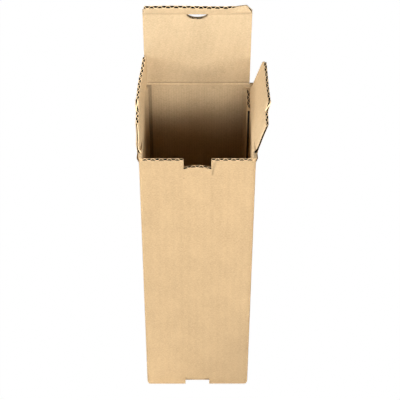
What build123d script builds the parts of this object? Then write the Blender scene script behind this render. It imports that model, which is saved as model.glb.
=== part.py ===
from build123d import *
import os
from math import cos, pi, radians, sin, sqrt, tan

os.makedirs("parts", exist_ok=True)

# Folded corrugated box for one wine bottle, both ends closed by a tuck lid.
# Millimetres, +Z up, front wall towards -Y, lids hinged on the back wall.
# The origin is on the floor under the middle of the box.

# Corrugated board
board = 3.0
liner = 0.45
medium = 0.5
flute_pitch = 6.8
glue_line = 1.4
flute_reach = 20.0

# Tube
box_width = 99.0
box_depth = 98.0
wall_height = 314.0
fold_radius = 2.5
fold_bead = 2.5
wall_bulge = 3.0
wall_bulge_length = 12.0
worn_radius = 3.5

# Creases
crease_gap = 0.3
score = 0.8

# Glue tab inside the right wall
tab_width = 28.0
tab_slope = 5.5
tab_relief = 0.6
seam_gap = 0.3

# Lids and their tuck flaps
lid_side_play = 0.3
lid_taper = 0.3
tuck_play = 1.0
tuck_length = 19.0
tuck_lean = 15.0
tuck_taper = 2.0
tuck_cut_width = 4.0
tuck_cut_length = 11.0
slot_width = 18.5
slot_depth = 6.2
slot_lip = 1.1

# Dust flaps
dust_gap = 9.2
dust_relief = 2.0
dust_taper = 5.5
dust_rise = 1.5
dust_step_depth = 8.5
dust_step_width = 20.3
dust_step_slant = 2.4
dust_shoulder = 2.2
dust_corner = 3.0

# Thumb notches in the front wall
notch_width = 23.4
notch_depth = 10.3
notch_hump = 2.2

# Pose in the photograph, in degrees
lid_open = 81.5
tuck_open_fold = 27.0
left_dust_open = 94.0
right_dust_open = 107.0

# Derived sizes
inner_width = box_width - 2 * board
inner_depth = box_depth - 2 * board
hinge_offset = board / 2
hinge_x = inner_width / 2 + hinge_offset
hinge_y = inner_depth / 2 + hinge_offset
end_setback = board / 2 + crease_gap
dust_hinge_z = wall_height - board / 2
lid_hinge_z = wall_height + end_setback
bottom_hinge_z = board / 2
bottom_wall_z = bottom_hinge_z + end_setback
lid_length = hinge_y + inner_depth / 2 - tuck_play - board / 2
lid_root = inner_width / 2 - lid_side_play
lid_end = lid_root - lid_taper
tuck_closed_fold = 90.0 + tuck_lean
dust_drop = board + crease_gap + board / 2
dust_front = inner_depth / 2 - crease_gap
tuck_room = (
    tuck_play
    + board / 2
    + dust_drop * tan(radians(tuck_lean))
    + board / 2 / cos(radians(tuck_lean))
    + 3 * crease_gap
)


def wave(across):
    """Height of the medium's upper face above the middle of the board."""
    crest = board / 2 - liner - medium / 2
    turn = 2 * pi * across / flute_pitch
    slope = crest * 2 * pi / flute_pitch * sin(turn)
    return crest * cos(turn) + medium / 2 * sqrt(1 + slope * slope)


def channel_section(side):
    """Air space between two waves, wide at one facing; side 1 is the upper facing."""
    middle = flute_pitch / 2
    stations = [(middle - glue_line / 2, board / 2 - liner)]
    for share in (0.3, 0.425):
        across = share * flute_pitch
        stations.append((middle - across, wave(across)))
    right = [(x, side * z) for x, z in stations]
    left = [(-x, side * z) for x, z in reversed(stations)]
    return make_face(Polyline(*right, *left, close=True))


def channels(low, high, length):
    """Flute channels from low to high along X in a board centred on Y 0, running up from Z 0."""
    spacing = flute_pitch / 2
    usable = high - low - flute_pitch
    count = int(usable / spacing) + 1
    first = (low + high) / 2 - spacing * (count - 1) / 2
    sections = []
    for index in range(count):
        side = 1 if index % 2 else -1
        sections += [Pos(first + index * spacing, 0) * channel_section(side)]
    return [extrude(section, length) for section in sections]


def outside_corner(radius):
    """Square corner less its round: what a bend of this radius takes off the corner at the origin."""
    square = Pos(-radius / 2, -radius / 2) * Rectangle(radius, radius)
    bend = Pos(-radius, -radius) * Circle(radius)
    return square - bend


def crushed_edges(length):
    """Slanted cuts that thin the end of a board beside a crease along X; the end is at Z 0."""
    low = board / 2 + 1
    top = board / 2 - score - 1
    cut = make_face(Polyline((low, -score - 1), (low, 1), (top, 1), close=True))
    pair = cut + mirror(cut, about=Plane.YZ)
    return extrude(Plane.YZ * pair, length / 2, both=True)


def tube():
    """The four walls, folded round a square, with the glued seam at the back right corner."""
    outer = RectangleRounded(box_width, box_depth, fold_radius)
    plan = outer - Rectangle(inner_width, inner_depth)
    corner_x = inner_width / 2
    corner_y = box_depth / 2
    plan += Pos(corner_x, corner_y - board / 2) * Rectangle(2 * board, board)
    plan -= Pos(corner_x, corner_y) * outside_corner(fold_radius)
    plan -= Pos(corner_x + board / 2, corner_y) * Rectangle(board, 2 * seam_gap)
    return extrude(plan, wall_height)


def wall_ends():
    """Room for the dust flaps' creases above the side walls and for the lid below the other walls."""
    height = end_setback + board / 2
    above = Pos(0, 0, wall_height - height / 2) * Box(box_width + 2, inner_depth, height)
    depth = box_depth - board + 1
    below = Pos(0, (board + 1) / 2, bottom_wall_z / 2) * Box(box_width + 2, depth, bottom_wall_z)
    return [above, below]


def wall_scores():
    """The crushed lines of the creases at the ends of the side and back walls."""
    length = 2 * dust_front
    side = crushed_edges(length)
    cuts = []
    for x in (-hinge_x, hinge_x):
        cuts += [Pos(x, 0, dust_hinge_z - end_setback) * Rot(Z=90) * side]
    back = crushed_edges(2 * lid_root)
    cuts += [Pos(0, hinge_y, wall_height) * back]
    cuts += [Pos(0, hinge_y, bottom_wall_z) * Rot(X=180) * back]
    return cuts


def thumb_notch():
    """Straight-sided notch with a humped floor, cut down from Z 0 in a wall across Y."""
    half = notch_width / 2
    sides = Polyline((-half, -notch_depth), (-half, 1), (half, 1), (half, -notch_depth))
    floor = ThreePointArc((half, -notch_depth), (0, notch_hump - notch_depth), (-half, -notch_depth))
    return extrude(Plane.XZ * make_face(sides + floor), board, both=True)


def fold_beads():
    """Crushed board that bulges into the tube at the two folds of the back wall."""
    bulge = make_face(Polyline((0, 0), (wall_bulge, 0), (0, -wall_bulge_length), close=True))
    bead = make_face(Polyline((0, 0), (-fold_bead, 0), (0, -fold_bead), close=True))
    left = Pos(-inner_width / 2, inner_depth / 2) * bulge
    right = Pos(inner_width / 2 - board, inner_depth / 2) * bead
    low = bottom_wall_z + board
    high = wall_height - end_setback - board / 2
    return [Pos(0, 0, low) * extrude(side, high - low) for side in (left, right)]


def worn_corners():
    """Rounded lower corners of the front wall's free edge."""
    corner = extrude(Plane.XZ * outside_corner(worn_radius), board, both=True)
    right = Pos(box_width / 2, hinge_offset - box_depth / 2, 0) * Rot(Y=90) * corner
    return [right, mirror(right, about=Plane.YZ)]


def glue_tab():
    """Tab folded from the back wall on to the right wall's inner face, its ends cut at a slope.

    Its front edge is cut along the flutes, so it shows one open flute between the liners.
    """
    drop = tab_width * tan(radians(tab_slope))
    top = dust_hinge_z - board / 2 - tab_relief
    bottom = bottom_wall_z + board + tab_relief
    back = inner_depth / 2
    front = back - tab_width
    side = make_face(
        Polyline((back, bottom), (back, top), (front, top - drop), (front, bottom + drop), close=True)
    )
    tab = Pos(inner_width / 2 - board, 0, 0) * extrude(Plane.YZ * side, board)
    low = top - drop - tab_width
    flutes = channels(-back, -front - glue_line, 3 * tab_width)
    place = Pos(inner_width / 2 - board / 2, 0, low) * Rot(Z=-90)
    cut_flute = Box(board - 2 * liner, 2 * (glue_line - medium), top - bottom)
    cut_flute = Pos(inner_width / 2 - board / 2, front, (top + bottom) / 2) * cut_flute
    return tab - [cut_flute] - [place * flute for flute in flutes]


def dust_outline():
    """Flat dust flap: X runs from its crease to its free edge, Y along the crease."""
    reach = hinge_x - dust_gap / 2
    front = -dust_front
    back = inner_depth / 2 - dust_relief
    tucked = tuck_room - inner_depth / 2
    step = tucked + dust_step_width
    low_reach = reach - dust_step_depth
    sheet = make_face(
        Polyline(
            (0, front),
            (dust_shoulder, front),
            (dust_shoulder, tucked),
            (low_reach, tucked),
            (low_reach, step - dust_step_slant),
            (reach, step),
            (reach - dust_rise, back - dust_taper),
            (0, back),
            close=True,
        )
    )
    corner = sheet.vertices().sort_by_distance((reach - dust_rise, back - dust_taper, 0))[0]
    return fillet(corner, dust_corner)


def dust_plate():
    """Dust flap sheet in its flat frame, board centred on Z 0."""
    return extrude(Pos(0, 0, -board / 2) * dust_outline(), board)


def dust_flap():
    """Dust flap with its round crease and the flutes that show at its free edge."""
    reach = hinge_x - dust_gap / 2
    back = inner_depth / 2 - dust_relief
    length = dust_front + back
    middle = (back - dust_front) / 2
    plate = dust_plate()
    plate += Pos(0, middle, 0) * Rot(X=90) * Cylinder(board / 2, length)
    low = tuck_room - inner_depth / 2
    high = back - dust_taper - dust_corner / 2
    flutes = channels(low, high, reach)
    place = Pos(board, 0, 0) * Rot(Z=90) * Rot(X=90)
    return plate - [place * flute for flute in flutes]


def right_dust_flap():
    """Dust flap hinged on the right wall, closed: it runs towards -X."""
    return Pos(hinge_x, 0, dust_hinge_z) * mirror(dust_flap(), about=Plane.YZ)


def left_dust_flap():
    """Dust flap hinged on the left wall, closed: it runs towards +X."""
    return Pos(-hinge_x, 0, dust_hinge_z) * dust_flap()


def bottom_dust_flaps():
    """The two lower dust flaps, folded flat under the tube."""
    plate = Pos(-hinge_x, 0, bottom_wall_z + board / 2) * dust_plate()
    return [plate, mirror(plate, about=Plane.YZ)]


def bottom_bends():
    """Rounds on the outer edges where the side walls fold into the lower dust flaps."""
    bend = extrude(Plane.XZ * outside_corner(fold_radius), inner_depth / 2, both=True)
    right = Pos(box_width / 2, 0, bottom_wall_z) * Rot(Y=90) * bend
    return [right, mirror(right, about=Plane.YZ)]


def front_wall_flutes():
    """Open flutes at both cut ends of the front wall."""
    side = (box_width - fold_radius) / 2
    flutes = channels(-side, side, flute_reach + board)
    lower = Pos(0, hinge_offset - box_depth / 2, -board)
    upper = Pos(0, hinge_offset - box_depth / 2, wall_height - flute_reach)
    return [place * flute for place in (lower, upper) for flute in flutes]


def box_body():
    """Tube, glue tab and lower dust flaps, which are folded from one sheet."""
    body = tube() - wall_ends() - wall_scores()
    body += glue_tab()
    body += fold_beads()
    body += bottom_dust_flaps()
    body -= bottom_bends()
    body -= worn_corners()
    body -= front_wall_flutes()
    notch = Pos(0, hinge_offset - box_depth / 2, 0) * thumb_notch()
    body -= Pos(0, 0, wall_height) * notch
    body -= mirror(notch, about=Plane.XY)
    return body


def finger_slot():
    """Half-moon slot whose straight side lies on the crease of the tuck flap."""
    slot = extrude(Ellipse(slot_width / 2, slot_depth), board, both=True)
    return Pos(0, -lid_length, 0) * slot


def lid_panel():
    """Lid in its closed frame: crease along X at the origin, running towards -Y."""
    end = lid_length - end_setback
    end_half = lid_root - lid_taper * end / lid_length
    sheet = make_face(Polyline((-lid_root, 0), (lid_root, 0), (end_half, -end), (-end_half, -end), close=True))
    lid = extrude(Pos(0, 0, -board / 2) * sheet, board)
    lid += Rot(Y=90) * Cylinder(board / 2, 2 * lid_root)
    lid -= Pos(0, -end, 0) * Rot(X=90) * crushed_edges(box_width)
    return lid


def slotted_lid():
    """Lid with its finger slot, and the flutes that the slot cuts open."""
    lid = lid_panel() - finger_slot()
    half = slot_width / 2
    flutes = channels(-half, half, flute_reach)
    low = lid_length - flute_reach
    return lid - [Pos(0, -low, 0) * Rot(X=90) * flute for flute in flutes]


def tuck_panel():
    """Tuck flap flat in line with its lid: crease along X at the origin, running towards -Y."""
    shoulder = tuck_length - tuck_cut_length
    shoulder_half = lid_end - tuck_taper / 2
    sheet = make_face(
        Polyline(
            (-lid_end, 0),
            (lid_end, 0),
            (shoulder_half, -shoulder),
            (shoulder_half - tuck_cut_width, -tuck_length),
            (tuck_taper - lid_end, -tuck_length),
            close=True,
        )
    )
    tuck = extrude(Pos(0, 0, -board / 2) * sheet, board)
    tuck += Rot(Y=90) * Cylinder(board / 2, 2 * lid_end)
    flutes = channels(tuck_taper - lid_end, shoulder_half - tuck_cut_width, tuck_length)
    return tuck - [Pos(0, -board, 0) * Rot(X=90) * flute for flute in flutes]


def slotted_tuck():
    """Tuck flap whose crease is cut away along the lid's finger slot."""
    gap = Pos(0, board / 2 - slot_lip, 0) * Box(slot_width, board, 2 * board)
    return tuck_panel() - gap


def top_lid_place():
    """Frame of the open top lid."""
    return Pos(0, hinge_y, lid_hinge_z) * Rot(X=-lid_open)


def top_tuck_place():
    """Frame of the tuck flap on the open top lid."""
    return top_lid_place() * Pos(0, -lid_length, 0) * Rot(X=tuck_open_fold)


def bottom_lid_place():
    """Frame of the closed bottom lid, turned over so that its tuck flap folds up."""
    return Pos(0, hinge_y, bottom_hinge_z) * Rot(Y=180)


def bottom_tuck_place():
    """Frame of the tuck flap inside the closed bottom end."""
    return bottom_lid_place() * Pos(0, -lid_length, 0) * Rot(X=tuck_closed_fold)


export_step(box_body(), "parts/box_body.step")

lid = top_lid_place() * slotted_lid()
export_step(lid, "parts/lid.step")

tuck_flap = top_tuck_place() * slotted_tuck()
export_step(tuck_flap, "parts/tuck_flap.step")

left_turn = Pos(-hinge_x, 0, dust_hinge_z) * Rot(Y=-left_dust_open) * Pos(hinge_x, 0, -dust_hinge_z)
export_step(left_turn * left_dust_flap(), "parts/dust_flap_left.step")

right_turn = Pos(hinge_x, 0, dust_hinge_z) * Rot(Y=right_dust_open) * Pos(-hinge_x, 0, -dust_hinge_z)
export_step(right_turn * right_dust_flap(), "parts/dust_flap_right.step")

export_step(bottom_lid_place() * lid_panel(), "parts/bottom_lid.step")
export_step(bottom_tuck_place() * tuck_panel(), "parts/bottom_tuck_flap.step")
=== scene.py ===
import math

import bmesh
import bpy
import numpy as np
from mathutils import Matrix, Vector


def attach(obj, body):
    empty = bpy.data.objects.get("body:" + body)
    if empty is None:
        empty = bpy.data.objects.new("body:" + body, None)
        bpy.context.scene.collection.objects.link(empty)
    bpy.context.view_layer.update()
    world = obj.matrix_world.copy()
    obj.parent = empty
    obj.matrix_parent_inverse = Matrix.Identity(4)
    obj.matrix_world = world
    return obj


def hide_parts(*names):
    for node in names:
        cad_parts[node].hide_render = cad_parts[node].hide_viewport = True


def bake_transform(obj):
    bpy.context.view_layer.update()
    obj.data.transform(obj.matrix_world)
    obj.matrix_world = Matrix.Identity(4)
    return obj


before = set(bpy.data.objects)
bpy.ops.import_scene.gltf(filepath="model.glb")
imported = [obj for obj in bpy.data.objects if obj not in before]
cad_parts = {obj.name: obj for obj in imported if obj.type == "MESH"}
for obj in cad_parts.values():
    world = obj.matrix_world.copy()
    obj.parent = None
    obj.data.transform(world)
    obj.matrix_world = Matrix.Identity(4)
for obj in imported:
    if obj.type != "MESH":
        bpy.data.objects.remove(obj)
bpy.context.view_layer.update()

# Sizes are in metres and leans in degrees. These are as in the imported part.
MM = 0.001
BOARD = 3.0 * MM
PITCH = 6.8 * MM
GAP = 0.3 * MM
WIDTH, DEPTH, HEIGHT = 99.0 * MM, 98.0 * MM, 314.0 * MM
HINGE_X = WIDTH / 2 - BOARD / 2
HINGE_Y = DEPTH / 2 - BOARD / 2
WALL = DEPTH / 2 - BOARD
SIDE_WALL = WIDTH / 2 - BOARD
DUST_Z = HEIGHT - BOARD / 2
LID_Z = HEIGHT + BOARD / 2 + GAP
LID_LENGTH = 91.0 * MM
LID_ROOT = WIDTH / 2 - BOARD - GAP
LID_END = LID_ROOT - GAP
LID_LEAN, TUCK_FOLD = 8.5, 27.0
TUCK_LENGTH = 19.0 * MM
SLOT_HALF, SLOT_LIP = 9.25 * MM, 1.1 * MM
NOTCH_HALF, NOTCH_DEPTH, NOTCH_HUMP = 11.7 * MM, 10.3 * MM, 2.2 * MM
TAB_FRONT = WALL - 28.0 * MM
WALL_BULGE, BULGE_LENGTH = 3.0 * MM, 12.0 * MM

# Papers of the boards made here. Their open flutes look as in the photograph with thinner liners than the
# part's, and with a wave STEEP times as steep as a cosine, whose crests are flat and sink into the liners.
LINER = 0.30 * MM
MEDIUM, TUCK_MEDIUM, RIM_MEDIUM = 0.80 * MM, 0.50 * MM, 0.62 * MM
STEEP = 1.6
CREST_SINK = 0.01 * MM
# Random ripple of the cut edges: height, distance between knots and seeds
RIPPLE, DUST_KNOTS, TUCK_KNOTS = 0.10 * MM, 1.7 * MM, 1.9 * MM
DUST_SEED, TUCK_SEED = 3, 11
# Columns of points in each flute, and columns of the dust flaps' solid parts behind and before their flutes
COLUMNS_PER_FLUTE, TAIL_COLUMNS, LIP_COLUMNS = 18, 12, 5
# Rows of points along the flutes, from the crease or the rim's foot to the cut edge
DUST_ROWS, SOLID_ROWS, TUCK_ROWS, RIM_ROWS = 22, 12, 16, 4


def new_object(name, data):
    obj = bpy.data.objects.new(name, data)
    bpy.context.scene.collection.objects.link(obj)
    return obj


# Camera as fitted to the photograph, with its focal length in the photograph's pixels
CAMERA_PITCH, CAMERA_YAW, CAMERA_ROLL = 46.75, 0.20, -0.12
CAMERA_TARGET, CAMERA_DISTANCE = (0.0024, 0.0, 0.2139), 1.393
FOCAL_PIXELS, PHOTO_PIXELS = 1527.0, 400.0
SENSOR_MM, CLIP_END = 36.0, 20.0


def camera():
    pitch, yaw, roll = (math.radians(angle) for angle in (CAMERA_PITCH, CAMERA_YAW, CAMERA_ROLL))
    forward = Vector((math.sin(yaw) * math.cos(pitch), math.cos(yaw) * math.cos(pitch), -math.sin(pitch)))
    right = Vector((math.cos(yaw), -math.sin(yaw), 0.0))
    down = forward.cross(right)
    right, down = (
        right * math.cos(roll) + down * math.sin(roll),
        down * math.cos(roll) - right * math.sin(roll),
    )
    place = Vector(CAMERA_TARGET) - forward * CAMERA_DISTANCE
    data = bpy.data.cameras.new("camera")
    data.sensor_width = SENSOR_MM
    data.lens = FOCAL_PIXELS / PHOTO_PIXELS * SENSOR_MM
    data.clip_end = CLIP_END
    eye = new_object("camera", data)
    eye.matrix_world = Matrix(
        (
            (right.x, -down.x, -forward.x, place.x),
            (right.y, -down.y, -forward.y, place.y),
            (right.z, -down.z, -forward.z, place.z),
            (0, 0, 0, 1),
        )
    )
    bpy.context.scene.camera = eye


# Name, azimuth from the front, elevation and watts of each light
LIGHTS = (
    ("front_left_low", -14, 5, 1.3),
    ("front_left", -14, 14, 1.8),
    ("front_left_high", -14, 24, 1.4),
    ("front_right", 14, 14, 3.9),
    ("front_right_high", 14, 24, 0.7),
    ("right", 45, 14, 3.9),
    ("side_left", -75, 24, 9.9),
    ("side_right", 75, 24, 1.6),
    ("side_right_high", 75, 40, 1.0),
    ("back_left", -120, 30, 3.7),
)
LIGHT_SIZE, LIGHT_DISTANCE, LIGHT_TARGET = 0.34, 1.0, (0, 0, 0.3)


def area_light(name, azimuth, elevation, power):
    azimuth, elevation = math.radians(azimuth), math.radians(elevation)
    level = math.cos(elevation)
    towards = Vector((math.sin(azimuth) * level, -math.cos(azimuth) * level, math.sin(elevation)))
    data = bpy.data.lights.new(name, "AREA")
    data.shape = "DISK"
    data.size = LIGHT_SIZE
    data.energy = power
    light = new_object(name, data)
    light.location = Vector(LIGHT_TARGET) + towards * LIGHT_DISTANCE
    light.rotation_euler = (-towards).to_track_quat("-Z", "Y").to_euler()


def stage_piece(name, points, faces, glow):
    """White surface around the box. It shines by itself as strongly as glow says."""
    material = bpy.data.materials.new(name)
    material.use_nodes = True
    inputs = material.node_tree.nodes["Principled BSDF"].inputs
    inputs["Base Color"].default_value = (0.9, 0.9, 0.9, 1)
    inputs["Roughness"].default_value = 0.9
    inputs["Emission Color"].default_value = (1, 1, 1, 1)
    inputs["Emission Strength"].default_value = glow
    mesh = bpy.data.meshes.new(name)
    mesh.from_pydata(points, [], faces)
    mesh.materials.append(material)
    return new_object(name, mesh)


def backdrop():
    """White floor that turns up into a white wall all round. It is seen, but it doesn't light the box."""
    around, radius, bottom, top = 48, 5.5, -0.001, 5.0
    angles = [2 * math.pi * k / around for k in range(around)]
    points = [(radius * math.cos(a), radius * math.sin(a), z) for z in (bottom, top) for a in angles]
    faces = [tuple(range(around))]
    faces += [(k, (k + 1) % around, (k + 1) % around + around, k + around) for k in range(around)]
    obj = stage_piece("backdrop", points, faces, 1.0)
    obj.visible_diffuse = False
    obj.visible_glossy = False


def floor_bounce():
    """White floor that isn't seen, but throws light back at the box."""
    half = 6.0
    points = [(-half, -half, 0), (half, -half, 0), (half, half, 0), (-half, half, 0)]
    floor = stage_piece("floor_bounce", points, [(0, 1, 2, 3)], 0.0)
    floor.visible_camera = False


def stage():
    world = bpy.data.worlds.new("world")
    bpy.context.scene.world = world
    world.use_nodes = True
    world.node_tree.nodes["Background"].inputs["Strength"].default_value = 0.0
    for light in LIGHTS:
        area_light(*light)
    backdrop()
    floor_bounce()
    bpy.context.scene.view_settings.view_transform = "Standard"


class Nodes:
    """A new material and short names for building its node tree."""

    def __init__(self, name):
        self.material = bpy.data.materials.new(name)
        self.material.use_nodes = True
        self.tree = self.material.node_tree
        self.shader = self.tree.nodes["Principled BSDF"]
        self.coordinates = self.add("ShaderNodeTexCoord").outputs

    def add(self, kind, **settings):
        node = self.tree.nodes.new(kind)
        for key, value in settings.items():
            setattr(node, key, value)
        return node

    def plug(self, value, socket):
        if isinstance(value, (int, float)):
            socket.default_value = value
        elif isinstance(value, tuple):
            socket.default_value = value if len(value) == len(socket.default_value) else (*value, 1.0)
        else:
            self.tree.links.new(value, socket)

    def math(self, operation, *values):
        node = self.add("ShaderNodeMath", operation=operation)
        for value, socket in zip(values, node.inputs):
            self.plug(value, socket)
        return node.outputs[0]

    def chain(self, operation, first, *others):
        for value in others:
            first = self.math(operation, first, value)
        return first

    def plus(self, *values):
        return self.chain("ADD", *values)

    def times(self, *values):
        return self.chain("MULTIPLY", *values)

    def minus(self, value, less):
        return self.math("SUBTRACT", value, less)

    def below(self, value, limit):
        """1 where the value is below the limit, else 0."""
        return self.math("LESS_THAN", value, limit)

    def near(self, value, centre, reach):
        """1 where the value is less than reach from the centre, else 0."""
        return self.below(self.math("ABSOLUTE", self.minus(value, centre)), reach)

    def ramp(self, value, low, high, to_low=0.0, to_high=1.0):
        """Goes gently from to_low, at the value low, to to_high, at the value high."""
        node = self.add("ShaderNodeMapRange", interpolation_type="SMOOTHSTEP")
        given = {"Value": value, "From Min": low, "From Max": high, "To Min": to_low, "To Max": to_high}
        for key, number in given.items():
            self.plug(number, node.inputs[key])
        return node.outputs["Result"]

    def shade(self, where, level, plain=1.0):
        """The level where "where" is 1, and plain where it is 0."""
        return self.ramp(where, 0.0, 1.0, plain, level)

    def noise(self, vector, scale, detail, rough, stretch=(1, 1, 1)):
        mapping = self.add("ShaderNodeMapping")
        self.plug(vector, mapping.inputs["Vector"])
        mapping.inputs["Scale"].default_value = stretch
        node = self.add("ShaderNodeTexNoise")
        self.plug(mapping.outputs[0], node.inputs["Vector"])
        node.inputs["Scale"].default_value = scale
        node.inputs["Detail"].default_value = detail
        node.inputs["Roughness"].default_value = rough
        return node.outputs["Fac"]

    def mix(self, factor, first, second, blend="MIX"):
        node = self.add("ShaderNodeMix", data_type="RGBA", blend_type=blend)
        for key, value in {"Factor": factor, "A": first, "B": second}.items():
            self.plug(value, node.inputs[key])
        return node.outputs["Result"]

    def split(self, vector):
        node = self.add("ShaderNodeSeparateXYZ")
        self.plug(vector, node.inputs[0])
        return node.outputs

    def join(self, x, y, z):
        node = self.add("ShaderNodeCombineXYZ")
        for value, socket in zip((x, y, z), node.inputs):
            self.plug(value, socket)
        return node.outputs[0]

    def place(self):
        """x, y and z in the part's frame."""
        return self.split(self.coordinates["Object"])

    def normal(self):
        return self.split(self.coordinates["Normal"])

    def flat(self):
        """A piece's own coordinates, across the flutes and along them."""
        return self.add("ShaderNodeAttribute", attribute_name="flat").outputs["Vector"]


# Kraft paper: colours of the outer and the inner liner
OUTSIDE = (0.452, 0.314, 0.170)
INSIDE = (0.565, 0.420, 0.252)
# Its pattern, in noise, and the ranges of the noise that are used
CLOUDS = {"scale": 38.0, "detail": 3.0, "rough": 0.55}
GRAIN = {"scale": 1900.0, "detail": 2.0, "rough": 0.6}
FIBRES = {"scale": 1.0, "detail": 4.0, "rough": 0.65, "stretch": (260.0, 1100.0, 600.0)}
FLECKS = {"scale": 1.0, "detail": 1.0, "rough": 0.5, "stretch": (420.0, 900.0, 700.0)}
NOISE_RANGE, FLECK_RANGE, CLOUD_RANGE, ROUGH_RANGE = (0.3, 0.7), (0.66, 0.76), (0.25, 0.75), (0.2, 0.8)
# How the pattern changes the colour
DARK_FIBRE, LIGHT_FIBRE, FLECK = (0.86, 0.84, 0.80), (1.10, 1.11, 1.13), (0.55, 0.55, 0.55)
FIBRE_SHARE, FLECK_SHARE = 0.35, 0.38
CLOUD_DARK, CLOUD_LIGHT = 0.955, 1.03
GRAIN_TONE, WASHBOARD_TONE = 0.03, 0.012
# How it changes the surface
SHEEN, ROUGH_LOW, ROUGH_HIGH = 0.25, 0.80, 0.93
BUMP_STRENGTH, FIBRE_RELIEF, WASHBOARD_RELIEF, GRAIN_RELIEF = 0.8, 0.05 * MM, 0.05 * MM, 0.03 * MM


def kraft(name, colour, flat=False, inside=None, marks=None, lining=None):
    """Uncoated kraft liner: fibres, flecks, clouding and a faint washboard. flat reads the piece's own
    coordinates across the flutes and along them; otherwise they come from the part's frame. inside and
    marks shade it, and lining says where it has the inner liner's colour."""
    tree = Nodes(name)
    if flat:
        at = tree.flat()
        across = tree.split(at)[0]
    else:
        x, y, z = tree.place()
        across = tree.plus(x, y)
        at = tree.join(across, z, tree.minus(x, y))
    clouds = tree.noise(at, **CLOUDS)
    fibres = tree.noise(at, **FIBRES)
    grain = tree.noise(at, **GRAIN)
    flecks = tree.ramp(tree.noise(at, **FLECKS), *FLECK_RANGE)
    wave = tree.math("SINE", tree.times(across, 2 * math.pi / PITCH))
    tone = tree.mix(tree.ramp(fibres, *NOISE_RANGE), DARK_FIBRE, LIGHT_FIBRE)
    tone = tree.mix(tree.ramp(clouds, *NOISE_RANGE, 0.0, FIBRE_SHARE), tone, (1.0, 1.0, 1.0))
    tone = tree.mix(tree.times(flecks, FLECK_SHARE), tone, FLECK)
    paper = colour if lining is None else tree.mix(lining(tree), colour, INSIDE)
    tone = tree.mix(1.0, tone, paper, "MULTIPLY")
    shade = tree.plus(
        tree.ramp(clouds, *CLOUD_RANGE, CLOUD_DARK, CLOUD_LIGHT),
        tree.times(wave, WASHBOARD_TONE),
        tree.ramp(grain, *NOISE_RANGE, -GRAIN_TONE, GRAIN_TONE),
    )
    for more in (inside, marks):
        if more is not None:
            shade = tree.times(shade, more(tree))
    tone = tree.mix(1.0, tone, tree.join(shade, shade, shade), "MULTIPLY")
    tree.plug(tone, tree.shader.inputs["Base Color"])
    tree.plug(tree.ramp(grain, *ROUGH_RANGE, ROUGH_LOW, ROUGH_HIGH), tree.shader.inputs["Roughness"])
    tree.shader.inputs["Specular IOR Level"].default_value = SHEEN
    relief = tree.plus(
        tree.times(fibres, FIBRE_RELIEF),
        tree.times(wave, WASHBOARD_RELIEF),
        tree.times(grain, GRAIN_RELIEF),
    )
    bumps = tree.add("ShaderNodeBump")
    bumps.inputs["Strength"].default_value = BUMP_STRENGTH
    bumps.inputs["Distance"].default_value = 1.0
    tree.plug(relief, bumps.inputs["Height"])
    tree.plug(bumps.outputs[0], tree.shader.inputs["Normal"])
    return tree.material


# A point this near to an inner face counts as on it, and this near to an outer face or a cut edge
ON_INNER, ON_OUTER = 0.1 * MM, 0.05 * MM
# A face is upright when its normal rises less than UPRIGHT, and faces a way when its normal does by FACING
UPRIGHT, FACING = 0.35, 0.8
# Flutes are open within CORE_HALF of a board's middle. In the front wall they lie within FRONT_FLUTES of
# the box's middle, in the tab within TAB_HALF of TAB_MIDDLE and above TAB_FOOT.
CORE_HALF, FRONT_FLUTES = 1.15 * MM, 47.9 * MM
TAB_MIDDLE, TAB_HALF, TAB_FOOT = 32.0 * MM, 13.9 * MM, 8.0 * MM
# Half width of the modelled rim of the front wall, and its height
RIM_END, RIM_BELOW = 46.2 * MM, 5.0 * MM
# Tones of the flutes' walls and of the holes under the modelled rim, both painted shade, and of cut edges
FLUTE_PAINTED_SHADE, HOLE_PAINTED_SHADE, CUT_TONE = 0.03, 0.005, 1.9
# The tab's flutes get a lighter painted shade further down
DEEP_PAINTED_SHADE, DEEP_FROM, DEEP_TO = 0.20, 300.0 * MM, 285.0 * MM
# Painted shade strip at the left of the back wall: its tone, and x where it starts and where it is full
SHADE_STRIP_TONE, SHADE_STRIP = 0.62, (-40.0 * MM, -41.2 * MM)
# Washboard of the back wall
LINES_PER_FLUTE, LINE_TONE = 3, 0.035


def tube_lining(tree):
    """The tube's inner faces."""
    x, y, _ = tree.place()
    return tree.times(tree.near(x, 0.0, SIDE_WALL + ON_INNER), tree.near(y, 0.0, WALL + ON_INNER))


def lid_depth(tree):
    """Distance from the middle of the open lid's board, positive outwards."""
    lean = math.radians(LID_LEAN)
    _, y, z = tree.place()
    back, up = tree.minus(y, HINGE_Y), tree.minus(z, LID_Z)
    return tree.plus(tree.times(back, math.cos(lean)), tree.times(up, math.sin(lean)))


def lid_lining(tree):
    """The half of the lid's board that is its inner face."""
    return tree.below(lid_depth(tree), 0.0)


def back_corner(tree, x, y):
    """Painted shade as a darker strip of the back wall beside the left wall, and the wall's faint washboard.
    """
    back = tree.near(y, WALL, ON_INNER)
    strip = tree.times(tree.ramp(x, *SHADE_STRIP), back)
    lines = tree.math("SINE", tree.times(x, 2 * LINES_PER_FLUTE * math.pi / PITCH))
    return tree.plus(tree.shade(strip, SHADE_STRIP_TONE), tree.times(lines, back, LINE_TONE))


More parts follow.
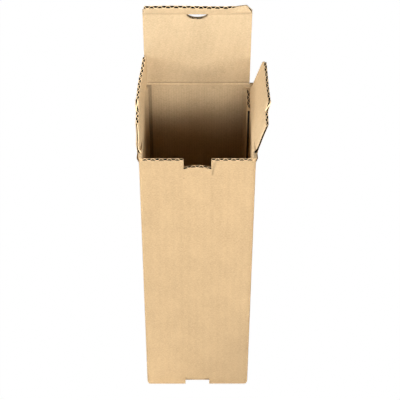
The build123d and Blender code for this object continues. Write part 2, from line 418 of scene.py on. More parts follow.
def board_inside(tree):
    """Painted shade: darkens the walls of the tube's open flutes and the holes under the modelled rim nearly
    to black, and paints the back wall's strip of shade. It also lightens its cut edges."""
    x, y, z = tree.place()
    _, ny, nz = tree.normal()
    upright = tree.below(tree.math("ABSOLUTE", nz), UPRIGHT)
    front = tree.times(tree.near(y, -HINGE_Y, CORE_HALF), tree.near(x, 0.0, FRONT_FLUTES))
    tab = tree.times(tree.near(x, HINGE_X - BOARD, CORE_HALF), tree.near(y, TAB_MIDDLE, TAB_HALF))
    tab = tree.times(tab, tree.math("GREATER_THAN", z, TAB_FOOT))
    rim = tree.times(tree.math("GREATER_THAN", tree.math("ABSOLUTE", nz), FACING), tree.below(y, -WALL))
    holes = tree.times(rim, tree.near(x, 0.0, RIM_END))
    tab_front = tree.times(tree.near(y, TAB_FRONT, ON_OUTER), tree.below(ny, -FACING))
    deep = tree.ramp(z, DEEP_FROM, DEEP_TO, FLUTE_PAINTED_SHADE, DEEP_PAINTED_SHADE)
    # Painted shade in the open flutes and holes and on the back wall's strip, and lighter cut edges
    return tree.times(
        tree.shade(tree.times(front, upright), FLUTE_PAINTED_SHADE),
        tree.shade(tree.times(tab, upright), deep),
        tree.shade(holes, HOLE_PAINTED_SHADE),
        back_corner(tree, x, y),
        tree.shade(tree.math("MAXIMUM", rim, tab_front), CUT_TONE),
    )


# Open flutes in the lid's finger slot: middle and half of the band of painted shade in the board's
# thickness, how far beside the slot it goes, and its tone. The normals of the lid's two faces go through the
# board by LID_FACE.
BAND_MIDDLE, BAND_HALF, SLOT_ROOM = 0.2 * MM, 0.65 * MM, 2.0 * MM
SLOT_SHADE, LID_FACE = 0.25, 0.9


def slot_inside(tree):
    """Painted shade: darkens the flutes that the lid's finger slot cuts open."""
    lean = math.radians(LID_LEAN)
    x = tree.place()[0]
    _, ny, nz = tree.normal()
    within = tree.near(lid_depth(tree), BAND_MIDDLE, BAND_HALF)
    beside = tree.near(x, 0.0, SLOT_HALF + SLOT_ROOM)
    through = tree.plus(tree.times(ny, math.cos(lean)), tree.times(nz, math.sin(lean)))
    facing = tree.math("ABSOLUTE", through)
    return tree.shade(tree.times(within, beside, tree.below(facing, LID_FACE)), SLOT_SHADE)


# Painted shade of a wrinkle on the front panel: x and z of its two ends, and its curve. Widths of its soft
# part at both ends, range of its dark core, and how much darker they are. The core fades towards the top,
# both at the foot.
WRINKLE_LOW, WRINKLE_HIGH, WRINKLE_CURVE = (12.7 * MM, 295.5 * MM), (15.0 * MM, 312.0 * MM), 1.6
SOFT_WIDTHS, SOFT_DARKER = (1.4 * MM, 2.6 * MM), 0.24
CORE_RANGE, CORE_DARKER = (0.15 * MM, 0.8 * MM), 0.10
CORE_FADE, FOOT_FADE = (0.75, 0.45), (0.0, 0.15)
# Dark spot left of the notch: x, z, range from its full darkness to its end, and how much darker it is
DARK_SPOT_X, DARK_SPOT_Z, DARK_SPOT_RANGE, DARK_SPOT_DARKER = -11.5 * MM, 293.0 * MM, (0.3 * MM, 1.3 * MM), 0.22
# Painted shade: the panel gets darker down this range of heights, by LOW_DARKER for each metre to the right
LOW_RANGE, LOW_DARKER = (150.0 * MM, 10.0 * MM), 2.6


def front_spot_and_shade(tree):
    """Painted shade of the wrinkle beside the notch, a small dark spot left of it, and painted shade
    towards the lower right, all on the front panel."""
    x, y, z = tree.place()
    front = tree.below(y, ON_OUTER - DEPTH / 2)
    run, climb = WRINKLE_HIGH[0] - WRINKLE_LOW[0], WRINKLE_HIGH[1] - WRINKLE_LOW[1]
    rise = tree.math("DIVIDE", tree.minus(z, WRINKLE_LOW[1]), climb)
    curve = tree.math("POWER", tree.math("MAXIMUM", rise, 0.0), WRINKLE_CURVE)
    line = tree.plus(WRINKLE_LOW[0], tree.times(curve, run))
    off = tree.math("ABSOLUTE", tree.minus(x, line))
    soft = tree.ramp(off, 0.0, tree.ramp(rise, 0.0, 1.0, *SOFT_WIDTHS), SOFT_DARKER, 0.0)
    core = tree.times(tree.ramp(off, *CORE_RANGE, CORE_DARKER, 0.0), tree.ramp(rise, *CORE_FADE))
    wrinkle_shade = tree.times(tree.plus(soft, core), tree.ramp(rise, *FOOT_FADE))
    dx, dz = tree.minus(x, DARK_SPOT_X), tree.minus(z, DARK_SPOT_Z)
    away = tree.math("SQRT", tree.plus(tree.times(dx, dx), tree.times(dz, dz)))
    spots = tree.math("MAXIMUM", wrinkle_shade, tree.ramp(away, *DARK_SPOT_RANGE, DARK_SPOT_DARKER, 0.0))
    # Painted shade that grows towards the lower right of the front panel
    tone = tree.times(tree.ramp(z, *LOW_RANGE), x, LOW_DARKER)
    return tree.minus(1.0, tree.times(tree.plus(spots, tone), front))


def dress_frame():
    body = kraft("kraft_tube", OUTSIDE, inside=board_inside, marks=front_spot_and_shade, lining=tube_lining)
    lid = kraft("kraft_lid", OUTSIDE, inside=slot_inside, lining=lid_lining)
    plain = kraft("kraft_panel", OUTSIDE)
    special = {"box_body": body, "lid": lid}
    for name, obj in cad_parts.items():
        for slot in obj.material_slots:
            slot.material = special.get(name, plain)


# The papers of a board, in the order in which papers() gives them
INNER, CUT, DARK, OUTER = range(4)
# Cut edges are lighter paper. The inside of the flutes is painted nearly black, as painted shade.
CUT_LIGHTER, MEDIUM_PAINTED_SHADE = 1.6, 0.015
# Lighter copies of the inner paper for the left flap and the tuck flap: painted light
LEFT_PAINTED_LIGHT, TUCK_PAINTED_LIGHT = 1.12, 1.14


def tinted(factor):
    return tuple(part * factor for part in INSIDE)


def papers():
    """Inner liner, cut edge, the inside of the flutes painted nearly black as shade, and outer liner."""
    inner = kraft("kraft_liner_in", INSIDE, flat=True)
    edge = kraft("kraft_cut_edge", tinted(CUT_LIGHTER), flat=True)
    dark = kraft("kraft_medium_painted_shade", tinted(MEDIUM_PAINTED_SHADE), flat=True)
    dark.node_tree.nodes["Principled BSDF"].inputs["Specular IOR Level"].default_value = 0.0
    outer = kraft("kraft_liner_out", OUTSIDE, flat=True)
    return [inner, edge, dark, outer]


def smooth(value, low, high):
    """Rises gently from 0 at low to 1 at high."""
    share = np.clip((value - low) / (high - low), 0.0, 1.0)
    return share * share * (3 - 2 * share)


def ripple(places, seed, scale, size):
    """Random heights along the places, straight between knots that are a scale apart."""
    draws = np.random.default_rng(seed)
    knots = np.arange(places.min() - 2 * scale, places.max() + 3 * scale, scale)
    return np.interp(places, knots, draws.normal(0.0, size, len(knots)))


def smooth_shaded(mesh):
    """Turns all faces outwards and shades them smooth, but for sharp edges."""
    sharp = math.radians(38)
    work = bmesh.new()
    work.from_mesh(mesh)
    bmesh.ops.recalc_face_normals(work, faces=work.faces)
    work.to_mesh(mesh)
    work.free()
    mesh.polygons.foreach_set("use_smooth", [True] * len(mesh.polygons))
    mesh.set_sharp_from_angle(angle=sharp)


def paper_piece(name, points, faces, kinds, flat, materials):
    """Mesh with its flat coordinates. kinds names the paper of each face."""
    mesh = bpy.data.meshes.new(name)
    mesh.from_pydata(points, [], faces)
    attribute = mesh.attributes.new("flat", "FLOAT_VECTOR", "POINT")
    attribute.data.foreach_set("vector", np.array(flat, np.float32).ravel())
    mesh.polygons.foreach_set("material_index", np.array(kinds, np.int32))
    for material in materials:
        mesh.materials.append(material)
    smooth_shaded(mesh)
    return new_object(name, mesh)


class Shell:
    """Collects closed grids of points in flat coordinates: across the flutes, along them and through the
    board, positive inwards."""

    def __init__(self):
        self.points, self.faces, self.kinds, self.caps, self.count = [], [], [], [], 0

    def add(self, faces, kind):
        self.faces.append(faces + self.count)
        self.kinds.append(np.full(len(faces), kind))

    def sheet(self, columns, low, high, top, bottom, rows, kinds, front=None):
        """Closed sheet from low to high between the surfaces top and bottom. kinds names the papers of
        top, bottom and rim, and front that of the rim at the first column."""
        share = np.linspace(0, 1, rows)
        across = np.repeat(columns[:, None], rows, 1)
        along = low[:, None] + (high - low)[:, None] * share[None, :]
        for surface in (top, bottom):
            self.points.append(np.stack([across, along, surface(across, along)], -1).reshape(-1, 3))
        count, layer = len(columns), len(columns) * rows
        i, j = np.meshgrid(np.arange(count - 1), np.arange(rows - 1), indexing="ij")
        corner = (i * rows + j).ravel()
        quads = np.stack([corner, corner + rows, corner + rows + 1, corner + 1], 1)

        def strip(line):
            """Faces of the rim along a line of the top's points."""
            return np.stack([line[:-1], line[1:], line[1:] + layer, line[:-1] + layer], 1)

        column, row = np.arange(rows), np.arange(count) * rows
        rim = [strip(row), strip(row + rows - 1), strip((count - 1) * rows + column)]
        self.add(quads, kinds[0])
        self.add(quads[:, ::-1] + layer, kinds[1])
        self.add(np.concatenate(rim), kinds[2])
        self.add(strip(column), kinds[2] if front is None else front)
        self.count += 2 * layer

    def roll(self, first, last):
        """Rounded crease: a closed cylinder, as thick as the board, about the line of the crease."""
        turns, radius = 20, BOARD / 2
        angle = np.linspace(0, 2 * math.pi, turns, endpoint=False)
        ring = np.stack([np.sin(angle) * radius, np.cos(angle) * radius], 1)
        self.points += [np.column_stack([np.full(turns, end), ring]) for end in (first, last)]
        here = np.arange(turns)
        following = (here + 1) % turns
        self.add(np.stack([here, following, following + turns, here + turns], 1), INNER)
        for cap in (here, here[::-1] + turns):
            self.caps.append([int(index) for index in cap + self.count])
        self.count += 2 * turns

    def build(self, name, place, texture, materials):
        """place maps the flat coordinates to the part's frame, and texture to where the paper is read."""
        flat = np.concatenate(self.points)
        faces = [tuple(map(int, face)) for face in np.concatenate(self.faces)]
        kinds = np.concatenate([*self.kinds, np.full(len(self.caps), CUT)])
        return paper_piece(name, place(flat).tolist(), faces + self.caps, kinds, texture(flat), materials)


def fluted(shell, columns, low, high, rows, squeeze, phase, front=(CUT, CUT, CUT), medium=MEDIUM):
    """Two liners and the wave of the medium between them. squeeze thins the board at a place, and front
    names the papers at the first column: of the inner liner, the outer liner and the medium."""
    face, back = BOARD / 2, BOARD / 2 - LINER
    crest = back - medium / 2 + CREST_SINK
    turn = 2 * math.pi / PITCH

    def level(value):
        return lambda across, along: value * squeeze(across, along)

    def wave(side):
        def height(across, along):
            angle = across * turn + phase
            steep = STEEP * np.cos(angle)
            slope = np.where(abs(steep) < 1, crest * turn * STEEP * np.sin(angle), 0.0)
            thick = medium / 2 * np.sqrt(1 + slope * slope)
            middle = crest * np.clip(steep, -1, 1)
            return np.clip(middle + side * thick, -back, back) * squeeze(across, along)

        return height

    for top, bottom, kinds, first in (
        (level(face), level(back), (INNER, DARK, CUT), front[0]),
        (level(-back), level(-face), (DARK, OUTER, CUT), front[1]),
        (wave(1), wave(-1), (DARK, DARK, CUT), front[2]),
    ):
        shell.sheet(columns, low, high, top, bottom, rows, kinds, first)


def columns_between(first, last, extra=()):
    """Places of the columns from first to last, with the extra ones that lie between them."""
    columns = np.arange(first, last, PITCH / COLUMNS_PER_FLUTE)
    columns = np.unique(np.concatenate([columns, [last], extra]))
    return columns[(columns >= first) & (columns <= last)]


def frame_at(origin, across, along, through):
    """Maps flat coordinates to the part's frame."""
    origin, axes = np.array(origin, float), np.array([across, along, through], float)
    return lambda flat: origin + flat @ axes


# Dust flaps. Side -1 is the left one and 1 the right one.
LEFT_LEAN, RIGHT_LEAN = 4.0, 17.0
# Places along the crease: its front, the front of the full board, its back
DUST_FRONT, DUST_TUCKED, DUST_BACK = -45.7 * MM, -39.76 * MM, 44.0 * MM
# Reach of the free edge, how much it falls towards the back, and its rounded back corner with the columns
# that it needs
DUST_REACH, DUST_FALL, DUST_CORNER = HINGE_X - 4.6 * MM, 1.5 * MM, 3.0 * MM
CORNER_COLUMNS = np.array([0.05, 0.3, 0.8, 1.6, 3.0]) * MM
# Step of the free edge: where it ends, its run along the edge and its depth
DUST_STEP, STEP_RUN, STEP_DEPTH = DUST_TUCKED + 20.3 * MM, 2.4 * MM, 8.5 * MM
# The medium crosses the board's middle at the step of the free edge
DUST_PHASE = {-1: -1.33, 1: 1.81}
# Papers at the front end of the inner liner, the outer liner and the medium
DUST_ENDS = {-1: (CUT, CUT, CUT), 1: (INNER, OUTER, DARK)}
# Back edge of each flap from its corner at the free edge down to the crease, each point with its place
# along the crease and its reach. At its foot the board stops BACK_SHORT earlier.
BACK_SHORT = 0.02 * MM
BACK_EDGE = {
    -1: np.array([(38.5, 39.4), (44.0, 0.3)]) * MM,
    1: np.array([(34.2, 41.8), (36.0, 33.0), (37.8, 22.0), (38.9, 14.5), (39.5, 7.0)]) * MM,
}
# Outward bow of the front corner: size, where it peaks past the crease, and where it fades in along it
BOW, BOW_PEAK, BOW_FADE = {-1: 2.0 * MM, 1: 0.9 * MM}, 8.5 * MM, (26 * MM, 40 * MM)
# Inward swell near the back edge: size, where it fades in along the crease, and where past the crease it
# rises and falls
SWELL, SWELL_FADE = {-1: 2.2 * MM, 1: 0.0}, (8 * MM, 42 * MM)
SWELL_RISE, SWELL_FALL = (5.4 * MM, 12 * MM), (18 * MM, 43 * MM)
# Slow wave of the board along its crease
WANDER, WANDER_LENGTH = 0.25 * MM, 9 * MM
# Extra lean of the board in degrees at places along its crease, which starts gently by this power
TWIST_PLACES = np.array([-42, -21, -15, 8, 38]) * MM
TWIST = {-1: (0.0, 0.0, -1.5, -3.2, -7.2), 1: (0.0, -0.6, -1.0, -1.6, -3.6)}
TWIST_START = 0.35
# The die nips the last NIP_DEPTH of a cut edge by this share of its thickness
DUST_NIP, TUCK_NIP, NIP_DEPTH = 0.16, 0.14, 2.0 * MM
# The front edge is crushed: by how much, over what length, and where past the crease that sets in
FRONT_CRUSH, FRONT_LENGTH, FRONT_START = 0.5, 2.5 * MM, (3 * MM, 9 * MM)
# Height of the board's foot in front of DUST_TUCKED
SHOULDER = 1.9 * MM


def dust_edge(side, across):
    """Reach of the flap's free edge at each place along its crease."""
    back = BACK_EDGE[side][0, 0]
    top = DUST_REACH - DUST_FALL * (across - DUST_STEP) / (back - DUST_STEP)
    low = np.full_like(across, DUST_REACH - STEP_DEPTH)
    slant = low + STEP_DEPTH * (across - DUST_STEP + STEP_RUN) / STEP_RUN
    reach = np.where(across < DUST_STEP - STEP_RUN, low, np.where(across < DUST_STEP, slant, top))
    gap = np.clip(across - (back - DUST_CORNER), 0, DUST_CORNER)
    return reach - (DUST_CORNER - np.sqrt(np.maximum(DUST_CORNER * DUST_CORNER - gap * gap, 0.0)))


def dust_warp(side, across, along):
    """How far the flap's board stands inwards of its flat plane."""
    along = np.maximum(along, 0.0)
    reach = np.clip(along / DUST_REACH, 0, 1)
    rise = along / BOW_PEAK
    bow = BOW[side] * smooth(-across, *BOW_FADE) * (rise * np.exp(1 - rise)) ** 2
    swell = SWELL[side] * smooth(across, *SWELL_FADE)
    swell = swell * smooth(along, *SWELL_RISE) * (1 - smooth(along, *SWELL_FALL))
    wander = WANDER * np.sin(across / WANDER_LENGTH + side) * reach
    twist = np.radians(np.interp(across, TWIST_PLACES, TWIST[side]))
    return wander + swell - bow - np.tan(twist) * along * reach ** TWIST_START


def dust_flap(name, side, lean, sheets):
    """Board of a dust flap: its fluted part, the solid parts behind and before it, and its round crease."""
    back, foot = BACK_EDGE[side][0, 0], BACK_EDGE[side][-1, 0]
    body = columns_between(DUST_TUCKED, back, [DUST_STEP - STEP_RUN, DUST_STEP, *(back - CORNER_COLUMNS)])
    high = dust_edge(side, body) + ripple(body, DUST_SEED + side, DUST_KNOTS, RIPPLE)
    shell = Shell()

    def squeeze(across, along):
        edge = np.interp(across, body, high)
        front = smooth(-across, -DUST_TUCKED - FRONT_LENGTH, -DUST_TUCKED)
        front = FRONT_CRUSH * front * smooth(along, *FRONT_START)
        return (1.0 - DUST_NIP * smooth(along, edge - NIP_DEPTH, edge)) * (1.0 - front)

    def level(value):
        return lambda across, along: 0 * across + value

    fluted(shell, body, np.zeros_like(body), high, DUST_ROWS, squeeze, DUST_PHASE[side], DUST_ENDS[side])
    tail = np.linspace(back, foot - BACK_SHORT, TAIL_COLUMNS)
    tail_high = np.minimum(np.interp(tail, *BACK_EDGE[side].T), dust_edge(side, np.array([back]))[0])
    lip = np.linspace(DUST_FRONT, DUST_TUCKED, LIP_COLUMNS)
    for columns, top in ((tail, tail_high), (lip, np.full_like(lip, SHOULDER))):
        low, kinds = np.zeros_like(columns), (INNER, OUTER, INNER)
        shell.sheet(columns, low, top, level(BOARD / 2), level(-BOARD / 2), SOLID_ROWS, kinds)
    shell.roll(DUST_FRONT, DUST_BACK)
    angle = math.radians(lean)
    up = (side * math.sin(angle), 0, math.cos(angle))
    inwards = (-side * math.cos(angle), 0, math.sin(angle))
    base = frame_at((side * HINGE_X, 0, DUST_Z), (0, 1, 0), up, inwards)

    def place(flat):
        across, along, through = flat.T
        return base(np.column_stack([across, along, through + dust_warp(side, across, along)]))

    def texture(flat):
        across, along, through = flat.T
        return np.column_stack([across + side * WALL, DUST_Z + along, side * WALL - across + through])

    return shell.build(name, place, texture, sheets)


# Tuck flap. It is TUCK_SHORT shorter than the part's, and narrower by TUCK_SIDE at each side. Its left
# corner is cut off over TUCK_LEFT. At the crushed right end its edge falls by TUCK_FALL over TUCK_SLANT,
# and then from TUCK_FOOT towards the crease over TUCK_TIP.
TUCK_SHORT, TUCK_SIDE = 0.7 * MM, 0.1 * MM
TUCK_LEFT, TUCK_SLANT, TUCK_FALL = 2.0 * MM, 4.0 * MM, 11.0 * MM
TUCK_TIP, TUCK_FOOT = 1.0 * MM, 8.0 * MM
TUCK_PHASE = 0.4
# The slot's sides are cut sharply between two columns that lie this far off them
SLOT_CUT = 0.01 * MM
# The right end is crushed and bent outwards, and the whole flap is a little wavy
CRUSH, CRUSH_ACROSS, CRUSH_ALONG = 0.62, (27 * MM, 33 * MM), (7 * MM, 17 * MM)
TUCK_BEND, BEND_ACROSS, BEND_CURVE = 1.7 * MM, (24 * MM, 40 * MM), 1.6
TUCK_WAVE, TUCK_WAVE_LENGTH = 0.3 * MM, 13 * MM
# y and z of the tuck flap's crease, from where its paper is read
TUCK_PAPER_Y, TUCK_PAPER_Z = 34.0 * MM, 405.8 * MM


def tuck_crease():
    """Point of the crease at the end of the open lid."""
    lean = math.radians(LID_LEAN)
    return (0, HINGE_Y - LID_LENGTH * math.sin(lean), LID_Z + LID_LENGTH * math.cos(lean))


def tuck_flap(sheets):
    """Board of the tuck flap on the open lid."""
    half, end = LID_END, TUCK_LENGTH - TUCK_SHORT
    fold = math.radians(LID_LEAN + TUCK_FOLD)
    up, inwards = (0, -math.sin(fold), math.cos(fold)), (0, -math.cos(fold), -math.sin(fold))
    base = frame_at(tuck_crease(), (1, 0, 0), up, inwards)
    left, right = TUCK_LEFT - half, half - TUCK_TIP - TUCK_SLANT
    slot_sides = [side * (SLOT_HALF + off) for side in (-1, 1) for off in (-SLOT_CUT, SLOT_CUT)]
    columns = columns_between(TUCK_SIDE - half, half - TUCK_SIDE, [left, right, *slot_sides])
    top = np.full_like(columns, end)
    top = np.where(columns < left, end * (columns + half) / TUCK_LEFT, top)
    top = np.where(columns > right, end - TUCK_FALL * (columns - right) / TUCK_SLANT, top)
    top = np.where(columns > half - TUCK_TIP, TUCK_FOOT * (half - columns) / TUCK_TIP, top)
    top = top + ripple(columns, TUCK_SEED, TUCK_KNOTS, RIPPLE)
    low = np.where(abs(columns) < SLOT_HALF, SLOT_LIP, 0.0)

    def squeeze(across, along):
        edge = np.interp(across, columns, top)
        nip = 1.0 - TUCK_NIP * smooth(along, edge - NIP_DEPTH, edge)
        return nip * (1.0 - CRUSH * smooth(across, *CRUSH_ACROSS) * smooth(along, *CRUSH_ALONG))

    def place(flat):
        across, along, through = flat.T
        reach = np.clip(along / end, 0, 1)
        bent = -TUCK_BEND * smooth(across, *BEND_ACROSS) * reach ** BEND_CURVE
        bent += TUCK_WAVE * np.sin(across / TUCK_WAVE_LENGTH) * reach
        return base(np.column_stack([across, along, through + bent]))

    def texture(flat):
        across, along, through = flat.T
        y, z = TUCK_PAPER_Y, TUCK_PAPER_Z + along
        return np.column_stack([across + y, z, across - y + through])

    shell = Shell()
    fluted(shell, columns, low, top, TUCK_ROWS, squeeze, TUCK_PHASE, medium=TUCK_MEDIUM)
    shell.roll(-half, -SLOT_HALF)
    shell.roll(SLOT_HALF, half)
    return shell.build("tuck_flap_board", place, texture, sheets)


# Front wall's rim: x of a crest of its medium, how far it stands over the part's rim, its share of the
# board's thickness, and how far the notch's floor runs into the notch's sides
RIM_CREST, RIM_OVER, RIM_SQUEEZE, RIM_INTO = -44.2 * MM, 0.03 * MM, 0.985, 0.02 * MM


def front_rim(sheets):
    """The liners and the medium at the top of the front wall and on the notch's humped floor."""
    radius = (NOTCH_HALF ** 2 + NOTCH_HUMP ** 2) / (2 * NOTCH_HUMP)
    notch, phase = NOTCH_HALF + RIM_INTO, -RIM_CREST / PITCH * 2 * math.pi
    shell = Shell()

    def squeeze(across, along):
        return RIM_SQUEEZE + 0 * across

    for first, last in ((-RIM_END, -notch), (-notch, notch), (notch, RIM_END)):
        columns = columns_between(first, last)
        top = np.full_like(columns, HEIGHT + RIM_OVER)
        if first == -notch:
            top += np.sqrt(radius ** 2 - columns ** 2) - radius + NOTCH_HUMP - NOTCH_DEPTH
        fluted(shell, columns, top - RIM_BELOW, top, RIM_ROWS, squeeze, phase, medium=RIM_MEDIUM)
    place = frame_at((0, -HINGE_Y, 0), (1, 0, 0), (0, 0, 1), (0, 1, 0))
    return shell.build("front_wall_rim", place, lambda flat: flat, sheets)


# Skins over the creases: how far they reach, over what length their height fades, and how far over the board
# and into it they lie
SKIN_REACH, SKIN_FADE, SKIN_OVER, SKIN_INTO = 6.0 * MM, 2.5 * MM, 0.02 * MM, 0.12 * MM
# How far apart their columns are, and the number of rows on each side of the bend and in the bend
SKIN_COLUMNS, SKIN_ROWS = 1.5 * MM, 12
# At the front end of a dust flap's crease they go on no further than this
FRONT_PAST = 1.95 * MM


def no_height(across, past):
    return 0 * past


def skin_faces(first, columns, rows):
    """Faces of a closed skin of two layers, whose points start at first."""
    faces, layer = [], rows * columns
    for k in range(rows - 1):
        for i in range(columns - 1):
            q = first + k * columns + i
            faces.append((q, q + 1, q + columns + 1, q + columns))
            faces.append((q + layer, q + columns + layer, q + columns + 1 + layer, q + 1 + layer))
        for i in (0, columns - 1):
            q = first + k * columns + i
            faces.append((q, q + columns, q + columns + layer, q + layer))
    for i in range(columns - 1):
        for k in (0, rows - 1):
            q = first + k * columns + i
            faces.append((q, q + 1, q + 1 + layer, q + layer))
    return faces


def crease(
    name, bodies, point, axis, dirs, normals, spans, texture, paper, height=no_height, past=SKIN_REACH,
):
    """Liner skin over a crease, on the face that the two normals name. dirs and normals hold the
    parent's first and the child's second. height(across, distance) raises it at a place along the crease
    and at a distance past it, and past is how far it goes on."""
    point, axis = np.array(point, float), np.array(axis, float)
    (pd, cd), (pn, cn) = (np.array(pair, float) for pair in (dirs, normals))
    core, base = 1.9 * MM, BOARD / 2
    outer = np.linspace(core, SKIN_REACH, SKIN_ROWS)
    far = np.linspace(core, past, SKIN_ROWS)
    turn = np.linspace(0, 1, SKIN_ROWS + 2)[1:-1, None]
    start, end = point + pn * base - pd * core, point + cn * base + cd * core
    middle = 2 * (point + (pn + cn) / np.linalg.norm(pn + cn) * base) - (start + end) / 2
    line = np.concatenate([
        point + pn * base - pd * outer[::-1, None],
        (1 - turn) ** 2 * start + 2 * turn * (1 - turn) * middle + turn ** 2 * end,
        point + cn * base + cd * far[:, None],
    ])
    distance = np.concatenate([-outer[::-1], (turn[:, 0] * 2 - 1) * core, far])
    normal = np.cross(np.gradient(line, axis=0), axis)
    normal /= np.linalg.norm(normal, axis=1)[:, None]
    normal *= np.sign(normal[0] @ pn)
    fade = smooth(SKIN_REACH - abs(distance), 0, SKIN_FADE)
    points, faces, flat = [], [], []
    for first, last in spans:
        columns = np.linspace(first, last, max(2, int((last - first) / SKIN_COLUMNS) + 1))
        faces += skin_faces(len(points), len(columns), len(line))
        for depth in (SKIN_OVER, -SKIN_INTO):
            for k, spot in enumerate(line):
                lift = depth + fade[k] * (SKIN_OVER + height(columns, distance[k] + 0 * columns))
                points += (spot + axis * columns[:, None] + normal[k] * lift[:, None]).tolist()
                flat += [texture(across, distance[k]) for across in columns]
    obj = paper_piece(name, points, faces, np.zeros(len(faces)), flat, [paper])
    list(bodies)
    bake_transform(obj)


def hump(value, centre, width):
    return np.exp(-(((value - centre) / width) ** 2))


# Lump at the front end of a dust flap's crease: where it fades in along the crease, and its middle and
# width past it
LUMP_FADE, LUMP_MIDDLE, LUMP_WIDTH = (32 * MM, 45 * MM), 0.6 * MM, 3.0 * MM
LEFT_LUMP, RIGHT_LUMP = 1.5 * MM, 1.2 * MM
# Where the wall's bulge ends past the crease, below the closed lid
BULGE_END = (0.3 * MM, 1.3 * MM)


def dust_skin(side, face, lump, bulge):
    """Height of the skin over a dust flap's crease: it follows the board's warp, with a lump at its front
    end and the wall's bulge at its back end."""
    def height(across, past):
        front = lump * smooth(-across, *LUMP_FADE) * hump(past, LUMP_MIDDLE, LUMP_WIDTH)
        share = np.clip((across - WALL + BULGE_LENGTH) / BULGE_LENGTH, 0, 1)
        back = bulge * share * (1 - smooth(past, *BULGE_END))
        return face * dust_warp(side, across, past) + front + back

    return height


def dust_creases(side, word, lean, lump, bulge, inner_paper, outer_paper):
    angle = math.radians(lean)
    dirs = (0, 0, 1), (side * math.sin(angle), 0, math.cos(angle))
    inwards = np.array([(-side, 0, 0), (-side * math.cos(angle), 0, math.sin(angle))])
    bodies, point = ("root", f"{word}_dust"), (side * HINGE_X, 0, DUST_Z)

    def texture(across, past):
        return across + side * WALL, DUST_Z + past, side * WALL - across

    for face, sign, height, paper in (
        ("in", 1, dust_skin(side, 1, 0.0, bulge), inner_paper),
        ("out", -1, dust_skin(side, -1, lump, 0.0), outer_paper),
    ):
        for end, span, past in (
            ("", (DUST_TUCKED, BACK_EDGE[side][-1, 0]), SKIN_REACH),
            ("_front", (DUST_FRONT, DUST_TUCKED), FRONT_PAST),
        ):
            crease(
                f"crease_dust_{word}_{face}{end}", bodies, point, (0, 1, 0), dirs, inwards * sign, [span],
                texture, paper, height, past,
            )


# Bead where the lid bends: height, middle and width, and how its line wanders
BEAD, BEAD_MIDDLE, BEAD_WIDTH = 0.9 * MM, -0.6 * MM, 0.7 * MM
BEAD_WANDER, BEAD_WANDER_LENGTH = 0.15 * MM, 7 * MM
# Ridge beyond the trough above it
RIDGE, RIDGE_MIDDLE, RIDGE_WIDTH = 0.3 * MM, 3.2 * MM, 1.2 * MM
# How far the skin over the back of the lid's crease sinks
OUTER_SINK = 0.1 * MM
# Tone of the bead's painted highlight, how much darker its line of painted shade above is, and where both
# rise and end past the crease
BEAD_HIGHLIGHT, BEAD_RISE, BEAD_END = 1.16, (-1.9 * MM, -1.2 * MM), (0.3 * MM, -0.5 * MM)
LINE_PAINTED_SHADE, LINE_RISE, LINE_END = 0.22, (0.2 * MM, 1.0 * MM), (2.6 * MM, 1.6 * MM)
# The back wall's strip of painted shade ends here, below the crease
SHADE_STRIP_END = (-1.2 * MM, -2.5 * MM)


def bead(across, past):
    """Raised line where the lid bends, and a lower one beyond the trough above it."""
    wander = BEAD_WANDER * np.sin(across / BEAD_WANDER_LENGTH)
    first = BEAD * hump(past, wander + BEAD_MIDDLE, BEAD_WIDTH)
    return first + RIDGE * hump(past, RIDGE_MIDDLE, RIDGE_WIDTH)


def flush(across, past):
    """Keeps the skin over the back of the lid's crease close to the back wall's face."""
    return -OUTER_SINK + 0 * past


def lid_crease_painted_light(tree):
    """Painted highlight on the bead where the lid bends, under a line of painted shade. Below it the back
    wall's strip of painted shade goes on."""
    across, along, _ = tree.split(tree.flat())
    past = tree.minus(along, LID_Z)
    light = tree.times(tree.ramp(past, *BEAD_RISE), tree.ramp(past, *BEAD_END))
    line = tree.times(tree.ramp(past, *LINE_RISE), tree.ramp(past, *LINE_END))
    strip = tree.times(tree.ramp(tree.minus(across, WALL), *SHADE_STRIP), tree.ramp(past, *SHADE_STRIP_END))
    lines = tree.plus(tree.shade(light, BEAD_HIGHLIGHT), tree.shade(line, -LINE_PAINTED_SHADE, 0.0))
    return tree.times(lines, tree.shade(strip, SHADE_STRIP_TONE))


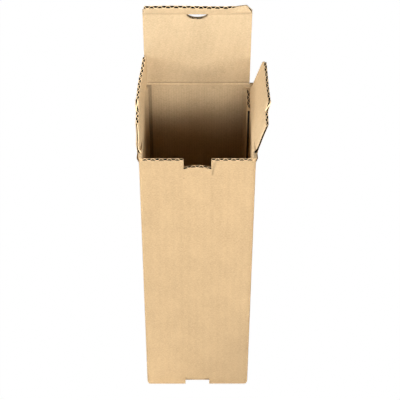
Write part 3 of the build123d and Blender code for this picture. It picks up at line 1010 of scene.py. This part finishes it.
def lid_creases(inner_paper, outer_paper):
    lean, fold = math.radians(LID_LEAN), math.radians(LID_LEAN + TUCK_FOLD)
    up, lid, tuck = ((0, -math.sin(angle), math.cos(angle)) for angle in (0.0, lean, fold))
    inwards = np.array([(0, -math.cos(angle), -math.sin(angle)) for angle in (0.0, lean, fold)])
    bead_paper = kraft("kraft_lid_crease", INSIDE, flat=True, marks=lid_crease_painted_light)

    def lid_texture(across, past):
        return across + WALL, LID_Z + past, across - WALL

    def tuck_texture(across, past):
        return across + TUCK_PAPER_Y, TUCK_PAPER_Z + past, across - TUCK_PAPER_Y

    for face, sign, height, lid_paper, tuck_paper in (
        ("in", 1, bead, bead_paper, inner_paper), ("out", -1, flush, outer_paper, outer_paper),
    ):
        crease(
            f"crease_lid_{face}", ("root", "top_lid"), (0, HINGE_Y, LID_Z), (1, 0, 0), (up, lid),
            inwards[:2] * sign, [(-LID_ROOT, LID_ROOT)], lid_texture, lid_paper, height,
        )
        crease(
            f"crease_tuck_{face}", ("top_lid", "top_tuck"), tuck_crease(), (1, 0, 0), (lid, tuck),
            inwards[1:] * sign, [(-LID_END, -SLOT_HALF), (SLOT_HALF, LID_END)], tuck_texture, tuck_paper,
        )


camera()
stage()
dress_frame()
sheets = papers()
# Lighter copy of the inner paper for the left flap, as painted light
left_paper = kraft("kraft_left_flap_painted_light", tinted(LEFT_PAINTED_LIGHT), flat=True)
left = dust_flap("dust_flap_left_board", -1, LEFT_LEAN, [left_paper, *sheets[1:]])
right = dust_flap("dust_flap_right_board", 1, RIGHT_LEAN, sheets)
# Lighter copy of the inner paper for the tuck flap, as painted light
tuck_paper = kraft("kraft_tuck_painted_light", tinted(TUCK_PAINTED_LIGHT), flat=True)
tuck = tuck_flap([tuck_paper, *sheets[1:]])
rim = front_rim(sheets)
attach(rim, "root")
for piece, node, body in (
    (left, "dust_flap_left", "left_dust"),
    (right, "dust_flap_right", "right_dust"),
    (tuck, "tuck_flap", "top_tuck"),
):
    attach(piece, body)
    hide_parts(node)
dust_creases(-1, "left", LEFT_LEAN, LEFT_LUMP, WALL_BULGE, sheets[INNER], sheets[OUTER])
dust_creases(1, "right", RIGHT_LEAN, RIGHT_LUMP, 0.0, sheets[INNER], sheets[OUTER])
lid_creases(sheets[INNER], sheets[OUTER])
